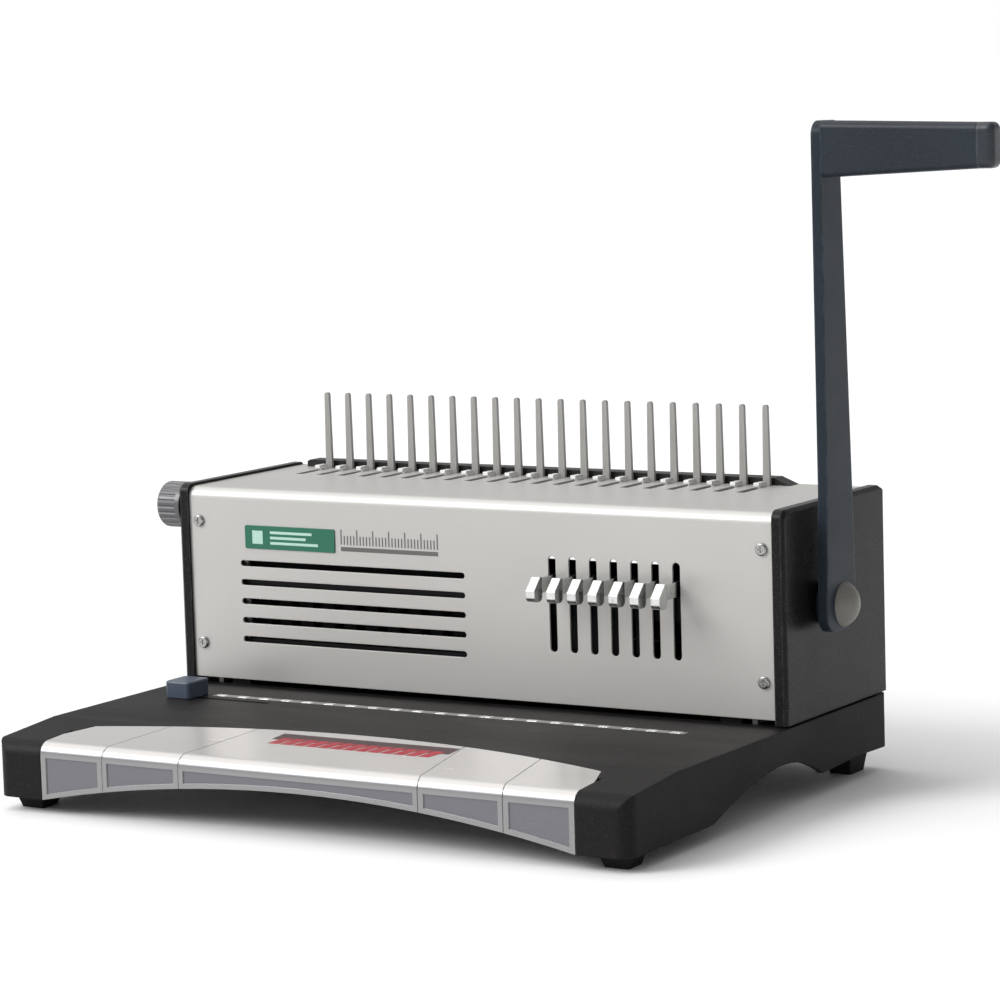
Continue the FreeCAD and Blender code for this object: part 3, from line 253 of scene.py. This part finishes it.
# one dictionary a finish: the recipe, then what may be changed
finishes = {
    "table_plastic": (mouldedFinish, dict(
        colour=(21, 19, 19), colourFar=(26, 24, 24), wearAndHighlightColour=(84, 81, 80), grainScale=1100.0,
        grainDepth=0.00004, roughness=(0.42, 0.56), specular=0.13, edgeWearAndHighlight=0.25, easedEdge=0.0012,
        speck=0.10)),
    # silver plastic: its front and recess tones are painted shade on front-facing faces and in the recess
    "silver_plastic": (pearlFinish, dict(
        colour=(190, 187, 185), colourFar=(196, 193, 191), wearAndHighlightColour=(214, 212, 211),
        flakeScale=2600.0, flakeColour=(199, 196, 195), darkFlake=(182, 180, 179),
        roughness=(0.24, 0.30), metallic=0.35, specular=0.5, coat=0.2, edgeWearAndHighlight=0.10, easedEdge=0.00025,
        glint=0.0, waveDepth=0.000004, flakeDepth=0.0, sparkle=0.04, recessY=-0.1417,
        shadedFrontTone=(140, 139, 140), recessShadeTone=(106, 106, 112))),
    "tray_plastic": (mouldedFinish, dict(
        colour=(34, 34, 35), colourFar=(39, 39, 40), wearAndHighlightColour=(90, 90, 92), grainScale=700.0,
        grainDepth=0.00005, roughness=(0.45, 0.62), specular=0.35, edgeWearAndHighlight=0.3)),
    "housing_paint": (paintedFinish, dict(
        colour=(188, 186, 183), colourFar=(193, 191, 188), wearAndHighlightColour=(216, 214, 211),
        roughness=(0.34, 0.44), specular=0.5, metallic=0.38, edgeWearAndHighlight=0.3, easedEdge=0.0005,
        peelDepth=0.00003, speck=0.12)),
    "black_paint": (paintedFinish, dict(
        colour=(22, 21, 21), colourFar=(27, 26, 26), wearAndHighlightColour=(88, 87, 86), roughness=(0.38, 0.52),
        specular=0.3, edgeWearAndHighlight=0.45, peelDepth=0.00005)),
    # black end panels: the pale edge colour and strong edge wear also paint a highlight along the bevels
    "panel_plastic": (mouldedFinish, dict(
        colour=(20, 19, 20), colourFar=(26, 25, 26), wearAndHighlightColour=(140, 138, 137), grainScale=1300.0,
        grainDepth=0.00003, roughness=(0.22, 0.34), specular=0.13, edgeWearAndHighlight=0.55, easedEdge=0.0012,
        speck=0.10)),
    "frame_steel": (brushedFinish, dict(
        colour=(120, 122, 122), colourFar=(146, 148, 148), wearAndHighlightColour=(204, 204, 202),
        stainColour=(92, 88, 82), brush=(40.0, 900.0, 60.0), roughness=(0.34, 0.50), metallic=1.0,
        anisotropy=0.3, edgeWearAndHighlight=0.4)),
    "bright_steel": (brushedFinish, dict(
        colour=(186, 187, 188), colourFar=(206, 207, 208), wearAndHighlightColour=(236, 236, 236),
        stainColour=(150, 148, 142), brush=(60.0, 1400.0, 1400.0), roughness=(0.16, 0.30), metallic=1.0,
        anisotropy=0.4, edgeWearAndHighlight=0.3, stain=0.2)),
    "gear_steel": (brushedFinish, dict(
        colour=(98, 96, 92), colourFar=(118, 116, 112), wearAndHighlightColour=(190, 189, 185),
        stainColour=(60, 53, 45), brush=(900.0, 180.0, 180.0), roughness=(0.30, 0.46), metallic=1.0,
        edgeWearAndHighlight=0.6, stain=0.5)),
    "black_oxide": (brushedFinish, dict(
        colour=(26, 26, 28), colourFar=(34, 34, 36), wearAndHighlightColour=(96, 95, 93), stainColour=(44, 36, 30),
        brush=(60.0, 1200.0, 1200.0), roughness=(0.42, 0.58), metallic=0.6, specular=0.3, edgeWearAndHighlight=0.4,
        stain=0.4)),
    "tine_steel": (brushedFinish, dict(
        colour=(152, 150, 148), colourFar=(164, 162, 160), wearAndHighlightColour=(196, 194, 191),
        stainColour=(134, 130, 126), brush=(1500.0, 1500.0, 55.0), roughness=(0.46, 0.60), metallic=0.2,
        specular=0.25, edgeWearAndHighlight=0.35, easedEdge=0.0004)),
    "hook_steel": (brushedFinish, dict(
        colour=(236, 236, 235), colourFar=(248, 248, 247), wearAndHighlightColour=(252, 252, 252),
        stainColour=(206, 204, 200), brush=(900.0, 90.0, 900.0), roughness=(0.18, 0.30), metallic=0.35,
        specular=0.6, edgeWearAndHighlight=0.3, stain=0.15, easedEdge=0.0003)),
    "selector_steel": (brushedFinish, dict(
        colour=(196, 198, 196), colourFar=(222, 223, 222), wearAndHighlightColour=(250, 250, 250),
        stainColour=(104, 105, 102), brush=(500.0, 500.0, 90.0), roughness=(0.12, 0.26), metallic=1.0,
        edgeWearAndHighlight=0.4, stain=0.4, stainScale=260.0, easedEdge=0.0005)),
    "spring_steel": (brushedFinish, dict(
        colour=(142, 142, 144), colourFar=(176, 176, 178), wearAndHighlightColour=(220, 220, 220),
        stainColour=(92, 86, 78), brush=(700.0, 700.0, 1800.0), roughness=(0.20, 0.36), metallic=1.0,
        edgeWearAndHighlight=0.2, easedEdge=0.0002)),
    "bronze": (brushedFinish, dict(
        colour=(176, 132, 72), colourFar=(198, 156, 94), wearAndHighlightColour=(228, 196, 140),
        stainColour=(96, 70, 40), brush=(2200.0, 2200.0, 2200.0), roughness=(0.32, 0.52), metallic=1.0,
        edgeWearAndHighlight=0.4, stain=0.5)),
    "screw_steel": (brushedFinish, dict(
        colour=(150, 150, 148), colourFar=(176, 176, 174), wearAndHighlightColour=(236, 236, 236),
        stainColour=(92, 88, 82), brush=(800.0, 800.0, 800.0), roughness=(0.16, 0.30), metallic=1.0,
        edgeWearAndHighlight=0.3, easedEdge=0.0002)),
    "foot_rubber": (mouldedFinish, dict(
        colour=(19, 19, 20), colourFar=(25, 25, 26), wearAndHighlightColour=(70, 69, 68), grainScale=1700.0,
        grainDepth=0.00008, roughness=(0.62, 0.80), specular=0.2, edgeWearAndHighlight=0.4, speck=0.2)),
    "guide_plastic": (mouldedFinish, dict(
        colour=(58, 68, 84), colourFar=(68, 79, 95), wearAndHighlightColour=(142, 154, 168), grainScale=1200.0,
        grainDepth=0.00003, roughness=(0.26, 0.38), specular=0.45, edgeWearAndHighlight=0.35, speck=0.10)),
    "scale_metal": (brushedFinish, dict(
        colour=(126, 125, 125), colourFar=(144, 143, 143), wearAndHighlightColour=(200, 200, 200),
        stainColour=(108, 106, 105), brush=(60.0, 1800.0, 1200.0), roughness=(0.30, 0.44), metallic=0.6,
        edgeWearAndHighlight=0.4, easedEdge=0.0003)),
    "badge_green": (paintedFinish, dict(
        colour=(12, 98, 74), colourFar=(20, 112, 86), wearAndHighlightColour=(96, 170, 144), roughness=(0.30, 0.42),
        specular=0.4, coat=0.15, edgeWearAndHighlight=0.5, easedEdge=0.0002, speck=0.12)),
    "lever_paint": (paintedFinish, dict(
        colour=(34, 41, 48), colourFar=(39, 46, 53), wearAndHighlightColour=(104, 118, 132), roughness=(0.26, 0.38),
        specular=0.11, coat=0.0, edgeWearAndHighlight=0.5, easedEdge=0.0016, peelDepth=0.00006, speck=0.10)),
    "grip_plastic": (mouldedFinish, dict(
        colour=(34, 40, 48), colourFar=(40, 46, 54), wearAndHighlightColour=(112, 122, 132), grainScale=1500.0,
        grainDepth=0.00002, roughness=(0.24, 0.36), specular=0.20, edgeWearAndHighlight=0.35, easedEdge=0.0012,
        speck=0.10)),
    # grip cap: the pale edge colour over a wide eased edge also paints a highlight on its rounded end and
    # edges
    "grip_cap_plastic": (mouldedFinish, dict(
        colour=(31, 37, 44), colourFar=(37, 43, 50), wearAndHighlightColour=(112, 120, 130), grainScale=1500.0,
        grainDepth=0.00002, roughness=(0.22, 0.34), specular=0.4, edgeWearAndHighlight=0.55, easedEdge=0.0020,
        speck=0.10)),
    "cap_plastic": (mouldedFinish, dict(
        colour=(106, 103, 98), colourFar=(116, 113, 108), wearAndHighlightColour=(150, 146, 140), grainScale=1300.0,
        grainDepth=0.00003, roughness=(0.32, 0.46), specular=0.4, edgeWearAndHighlight=0.3, speck=0.12)),
    "knob_plastic": (pearlFinish, dict(
        colour=(84, 84, 86), colourFar=(94, 94, 96), wearAndHighlightColour=(172, 172, 174), flakeScale=2600.0,
        flakeColour=(112, 112, 116), darkFlake=(70, 70, 74), roughness=(0.28, 0.42), metallic=0.3,
        specular=0.5, coat=0.1, edgeWearAndHighlight=0.5, easedEdge=0.0006, glint=0.3)),
}

materials = {name: recipe(name, look) for name, (recipe, look) in finishes.items()}
slotOfNode = {part["node"]: part["material_slot"] for part in frame["record"]["subparts"]}
for nodeName, piece in frame["nodes"].items():
    piece.data.materials.clear()
    piece.data.materials.append(materials[slotOfNode[nodeName]])
print("finishes made,", len(materials))


# A row of raised bars. Each bar is a slab over one span (left, lower, right, upper), leaned sideways by
# slant times the distance up from its lower edge, and drawn in by the bevel on its upper ring. A point
# is origin + u * across + v * along + lift * out.
def barRow(name, plane, look, spans, body, finish):
    spans = np.asarray(spans, float)
    corner = np.array([[0, 0], [1, 0], [1, 1], [0, 1]], float)
    size = spans[:, None, 2:4] - spans[:, None, 0:2]
    flat = spans[:, None, 0:2] + corner[None] * size
    inward = (0.5 - corner)[None] * 2 * look["bevel"]
    lift = np.array([look["sink"], look["height"] - look["bevel"] * 0.5, look["height"]])
    rings = np.stack([flat, flat, flat + inward], 1)
    rings[..., 0] += look.get("slant", 0.0) * (rings[..., 1] - spans[:, None, None, 1])
    origin, across, along, out = (np.asarray(part, float) for part in plane)
    points = (origin + rings[..., 0:1] * across + rings[..., 1:2] * along
              + lift[None, :, None, None] * out).reshape(-1, 3)
    side = np.array([[0, 1, 5, 4], [1, 2, 6, 5], [2, 3, 7, 6], [3, 0, 4, 7]])
    faces = np.vstack([side, side + 4, [[8, 9, 10, 11]], [[3, 2, 1, 0]]])
    faces = (faces[None] + 12 * np.arange(len(spans))[:, None, None]).reshape(-1, 4)
    if np.dot(np.cross(across, along), out) < 0:
        faces = faces[:, ::-1]
    mesh = bpy.data.meshes.new(name)
    mesh.from_pydata(points.tolist(), [], faces.tolist())
    mesh.materials.append(finish)
    piece = bpy.data.objects.new(name, mesh)
    bpy.context.scene.collection.objects.link(piece)
    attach(piece, body)


# One row a bar: left, lower, right and upper limits.
def spansOf(centres, halfWidth, low, high):
    centres = np.asarray(centres, float)
    full = np.ones_like(centres)
    return np.stack([centres - halfWidth, low * full, centres + halfWidth, high * full], -1)


stripLow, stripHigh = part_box("scale_strip")
badgeLow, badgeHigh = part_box("badge_plate")
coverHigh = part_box("front_cover")[1]
housingLow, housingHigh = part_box("housing_cover")
middleX = (housingLow.x + housingHigh.x) / 2
upright = ((1, 0, 0), (0, 0, 1), (0, -1, 0))  # across, along and out on a front face
inkLook = dict(roughness=(0.42, 0.56), specular=0.35, edgeWearAndHighlight=0.2, easedEdge=0.0001, peelDepth=0.00001)


# bright pads on the scale strip, one at each punched hole
padLook = dict(count=21, pitch=0.0142875, halfWidth=0.0030, halfDepth=0.0020, sink=-0.0002, height=0.00022,
               bevel=0.0003)
padMetal = brushedFinish("padMetal", dict(
    colour=(214, 214, 214), colourFar=(232, 232, 232), wearAndHighlightColour=(250, 250, 250),
    stainColour=(180, 179, 176), brush=(1500.0, 90.0, 900.0), roughness=(0.20, 0.32), metallic=0.7,
    edgeWearAndHighlight=0.4, easedEdge=0.0002))
padX = middleX + (np.arange(padLook["count"]) - (padLook["count"] - 1) / 2) * padLook["pitch"]
stripMiddle = (stripLow.y + stripHigh.y) / 2
pads = spansOf(padX, padLook["halfWidth"], stripMiddle - padLook["halfDepth"],
               stripMiddle + padLook["halfDepth"])
stripPlane = ((0, 0, stripHigh.z), (1, 0, 0), (0, 1, 0), (0, 0, 1))
barRow("scalePads", stripPlane, padLook, pads, "machine", padMetal)


# plain printed ruler right of the badge
rulerLook = dict(start=0.0042, length=0.0625, count=31, longEvery=5, low=0.0048, short=0.0098, tall=0.0132,
                 halfWidth=0.00042, lineOver=0.0004, lineLow=0.0012, lineHigh=0.0036,
                 sink=-0.00005, height=0.00005, bevel=0.00003)
greyInk = paintedFinish("greyInk", dict(
    inkLook, colour=(96, 94, 93), colourFar=(112, 110, 109), wearAndHighlightColour=(150, 148, 147)))
tickX = badgeHigh.x + rulerLook["start"] + np.linspace(0, rulerLook["length"], rulerLook["count"])
ticks = spansOf(tickX, rulerLook["halfWidth"], badgeLow.z + rulerLook["low"], badgeLow.z + rulerLook["short"])
ticks[::rulerLook["longEvery"], 3] = badgeLow.z + rulerLook["tall"]
baseLine = [[tickX[0] - rulerLook["lineOver"], badgeLow.z + rulerLook["lineLow"],
             tickX[-1] + rulerLook["lineOver"], badgeLow.z + rulerLook["lineHigh"]]]
barRow("rulerPrint", ((0, housingLow.y, 0), *upright), rulerLook, np.vstack([ticks, baseLine]),
       "machine", greyInk)


# plain pale stripes and a block on the badge
badgeLook = dict(inset=0.0028, stripeStart=0.017, stripeEnds=(0.011, 0.019, 0.015), blockStart=0.0050,
                 blockEnd=0.0120, sink=-0.00005, height=0.00006, bevel=0.00003)
paleInk = paintedFinish("paleInk", dict(
    inkLook, colour=(176, 214, 200), colourFar=(190, 224, 212), wearAndHighlightColour=(214, 236, 228)))
badgeRow = (badgeLow.z + badgeLook["inset"], badgeHigh.z - badgeLook["inset"])
stripeEnd = badgeHigh.x - np.array(badgeLook["stripeEnds"])
stripeZ = np.linspace(*badgeRow, 2 * len(stripeEnd))
stripes = np.stack([np.full(len(stripeEnd), badgeLow.x + badgeLook["stripeStart"]), stripeZ[0::2],
                    stripeEnd, stripeZ[1::2]], -1)
block = [[badgeLow.x + badgeLook["blockStart"], badgeRow[0], badgeLow.x + badgeLook["blockEnd"], badgeRow[1]]]
barRow("badgeStripes", ((0, badgeLow.y, 0), *upright), badgeLook, np.vstack([stripes, block]),
       "machine", paleInk)


# dark band with plain slanted red bars, along the back of the front cover's sloping top; the band's low
# and high are places in y, and darkFrom and the bars' low and high are distances from its low
bandLook = dict(fromMiddle=-0.0445, length=0.108, low=-0.1078, high=-0.0865, darkFrom=0.010,
                frontY=-0.142, frontZ=0.0378, run=0.064, sink=-0.00005, height=0.00008, bevel=0.00004)
redLook = dict(count=13, fromLeft=0.006, fromRight=0.010, halfWidth=0.0031, low=0.002, high=0.0135,
               slant=0.25, sink=-0.00005, height=0.00014, bevel=0.00005)
darkInk = paintedFinish("darkInk", dict(
    inkLook, colour=(50, 30, 34), colourFar=(66, 40, 44), wearAndHighlightColour=(130, 100, 104)))
redInk = paintedFinish("redInk", dict(
    inkLook, colour=(146, 20, 36), colourFar=(168, 34, 50), wearAndHighlightColour=(214, 130, 140)))
rise = (coverHigh.z - bandLook["frontZ"]) / bandLook["run"]
bandPlane = ((middleX + bandLook["fromMiddle"], bandLook["frontY"], bandLook["frontZ"]),
             (1, 0, 0), (0, 1, rise), (0, -rise, 1))
bandY = np.array([bandLook["low"], bandLook["high"]]) - bandLook["frontY"]
darkSpan = [[0, bandY[0] + bandLook["darkFrom"], bandLook["length"], bandY[1]]]
barRow("coverBand", bandPlane, bandLook, darkSpan, "drawer", darkInk)
redX = np.linspace(redLook["fromLeft"], bandLook["length"] - redLook["fromRight"], redLook["count"])
redSpans = spansOf(redX, redLook["halfWidth"], bandY[0] + redLook["low"], bandY[0] + redLook["high"])
barRow("coverBars", bandPlane, redLook, redSpans, "drawer", redInk)
print("printed bars made")


# return springs
springLook = dict(turns=8, steps=32, around=10, wire=0.0007,
                  stroke=0.02234, clearance=0.0004)  # stroke is how far the punch bar comes down


# Round wire carried along a helix. The centre line at turn angle a is (coil cos a, coil sin a, climb a),
# and the wire's skin at u is centre + wire (cos u * outward + sin u * across), closed by one flat face
# at each end.
def coilSprings(name, look, node):
    low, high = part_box(node)
    coil = (high.y - low.y) / 2 - look["wire"]
    angle = np.linspace(0, 2 * np.pi * look["turns"], look["turns"] * look["steps"] + 1)
    climb = (high.z - low.z - 2 * look["wire"]) / angle[-1]
    outward = np.stack([np.cos(angle), np.sin(angle), np.zeros_like(angle)], -1)
    forward = np.stack([-coil * np.sin(angle), coil * np.cos(angle), np.full_like(angle, climb)], -1)
    across = np.cross(forward / np.linalg.norm(forward, axis=1, keepdims=True), outward)
    centre = coil * outward + np.stack([0 * angle, 0 * angle, climb * angle], -1)
    turn = np.linspace(0, 2 * np.pi, look["around"], endpoint=False)
    skin = centre[:, None] + look["wire"] * (np.cos(turn)[None, :, None] * outward[:, None]
                                             + np.sin(turn)[None, :, None] * across[:, None])
    side = (high.y - low.y) / 2
    middles = np.array([[x, (low.y + high.y) / 2, low.z + look["wire"]]
                        for x in (low.x + side, high.x - side)])
    points = (skin.reshape(1, -1, 3) + middles[:, None]).reshape(-1, 3)
    along, around = np.meshgrid(np.arange(len(angle) - 1), np.arange(look["around"]), indexing="ij")
    after = (around + 1) % look["around"]
    here, there = along * look["around"], (along + 1) * look["around"]
    quads = np.stack([here + around, here + after, there + after, there + around], -1).reshape(-1, 4)
    count = len(angle) * look["around"]
    ring = np.arange(look["around"])
    faces = []
    for start in (0, count):
        faces += (quads + start).tolist()
        faces += [(ring[::-1] + start).tolist(), (ring + start + count - look["around"]).tolist()]
    mesh = bpy.data.meshes.new(name)
    mesh.from_pydata(points.tolist(), [], faces)
    mesh.polygons.foreach_set("use_smooth", np.ones(len(mesh.polygons), bool))
    mesh.materials.append(materials[slotOfNode[node]])
    piece = bpy.data.objects.new(name, mesh)
    bpy.context.scene.collection.objects.link(piece)
    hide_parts(node)
    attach(piece, "machine")
    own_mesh(piece)


coilSprings("returnSprings", springLook, "return_springs")
print("return springs made")

# floor, light and camera
stageLook = dict(radius=45.0, innerRings=(0.6, 2.0, 8.0), colour=(246, 246, 246), colourFar=(249, 249, 249),
                 roughness=0.6, specular=0.1, steps=96)


# A flat disc: rings of radius r by turns of angle a, at (r cos a, r sin a, 0).
def makeFloor(look):
    rings = np.array([*look["innerRings"], look["radius"]])
    turn = np.linspace(0, 2 * np.pi, look["steps"], endpoint=False)
    ring = np.stack([np.outer(rings, np.cos(turn)), np.outer(rings, np.sin(turn)),
                     np.zeros((len(rings), look["steps"]))], -1).reshape(-1, 3)
    points = np.vstack([[[0, 0, 0]], ring])
    here = np.arange(look["steps"])
    after = np.roll(here, -1)
    fan = [(0, int(a) + 1, int(b) + 1) for a, b in zip(here, after)]
    quads = np.concatenate([np.stack([here + k * look["steps"] + 1, here + (k + 1) * look["steps"] + 1,
                                      after + (k + 1) * look["steps"] + 1, after + k * look["steps"] + 1], -1)
                            for k in range(len(rings) - 1)]).tolist()
    mesh = bpy.data.meshes.new("studioFloor")
    mesh.from_pydata(points.tolist(), [], fan + quads)
    floor = bpy.data.objects.new("studioFloor", mesh)
    bpy.context.scene.collection.objects.link(floor)
    material = bpy.data.materials.new("studioFloor")
    material.use_nodes = True
    tree = material.node_tree
    shader = tree.nodes["Principled BSDF"]
    where = addNode(tree, "TexCoord").outputs["Object"]
    paper = noise(tree, where, 3.0, 3.0, 0.5)
    tint = mixColour(tree, remap(tree, paper, 0.3, 0.7, 0.0, 1.0),
                     linear(look["colour"]), linear(look["colourFar"]))
    tree.links.new(tint, shader.inputs["Base Color"])
    shader.inputs["Roughness"].default_value = look["roughness"]
    shader.inputs["Specular IOR Level"].default_value = look["specular"]
    mesh.materials.append(material)


lightLook = dict(
    left=0.72, right=0.26, backdrop=1.0, overhead=1.35, overheadFrom=(-0.46, -0.10, 0.88),
    overheadEdge=(0.72, 0.92),  # cosines off overheadFrom where the patch begins and is full
    keyFrom=(-0.58, -0.62, 0.56), keyStrength=1.95, keySoftness=30.0,
    rimFrom=(0.85, -0.50, 0.14), rimStrength=0.10, rimSoftness=8.0)


# Sky light that falls off to the right, a wide soft patch overhead, a soft key and a faint rim.
def makeLight(look):
    world = bpy.data.worlds.new("studio")
    bpy.context.scene.world = world
    world.use_nodes = True
    tree = world.node_tree
    tree.nodes.clear()
    where = addNode(tree, "TexCoord").outputs["Generated"]
    across = addNode(tree, "SeparateXYZ", {0: where}).outputs["X"]
    sides = remap(tree, across, -1.0, 1.0, look["left"], look["right"])
    aim = Vector(look["overheadFrom"]).normalized()
    lobe = addNode(tree, "VectorMath", {0: where, 1: aim}, operation="DOT_PRODUCT").outputs["Value"]
    patch = remap(tree, lobe, *look["overheadEdge"], 0.0, look["overhead"])
    soft = addNode(tree, "Background", {"Color": (1, 1, 1, 1), "Strength": calc(tree, "ADD", sides, patch)})
    seen = addNode(tree, "Background", {"Color": (1, 1, 1, 1), "Strength": look["backdrop"]})
    ray = addNode(tree, "LightPath").outputs["Is Camera Ray"]
    joined = addNode(tree, "MixShader", {0: ray, 1: soft.outputs[0], 2: seen.outputs[0]})
    addNode(tree, "OutputWorld", {"Surface": joined.outputs[0]})
    for part in ("key", "rim"):
        lamp = bpy.data.lights.new(part + "Lamp", "SUN")
        lamp.energy = look[part + "Strength"]
        lamp.angle = math.radians(look[part + "Softness"])
        holder = bpy.data.objects.new(part + "Lamp", lamp)
        holder.rotation_mode = "QUATERNION"
        holder.rotation_quaternion = Vector(look[part + "From"]).to_track_quat("Z", "Y")
        bpy.context.scene.collection.objects.link(holder)


cameraLook = dict(azimuth=31.72, elevation=7.04, roll=-1.73, distance=1.95234,
                  target=(-0.02151, 0.02263, 0.15355), lens=132.28, sensor=36.0)


# The camera stands at target + distance * back, where back is (sin azimuth cos elevation,
# -cos azimuth cos elevation, sin elevation), looks along -back and is rolled about that line.
def makeCamera(look):
    azimuth, elevation, roll = (math.radians(look[k]) for k in ("azimuth", "elevation", "roll"))
    back = Vector((math.sin(azimuth) * math.cos(elevation), -math.cos(azimuth) * math.cos(elevation),
                   math.sin(elevation)))
    right = (-back).cross(Vector((0, 0, 1))).normalized()
    up = right.cross(-back)
    across = right * math.cos(roll) + up * math.sin(roll)
    upward = up * math.cos(roll) - right * math.sin(roll)
    lens = bpy.data.cameras.new("viewCamera")
    lens.lens, lens.sensor_width = look["lens"], look["sensor"]
    lens.clip_start, lens.clip_end = 0.05, 200.0
    camera = bpy.data.objects.new("viewCamera", lens)
    turned = Matrix((across, upward, back)).transposed().to_4x4()
    turned.translation = Vector(look["target"]) + back * look["distance"]
    camera.matrix_world = turned
    bpy.context.scene.collection.objects.link(camera)
    bpy.context.scene.camera = camera


makeFloor(stageLook)
makeLight(lightLook)
makeCamera(cameraLook)
bpy.context.scene.view_settings.view_transform = "Standard"
print("floor, light and camera set")
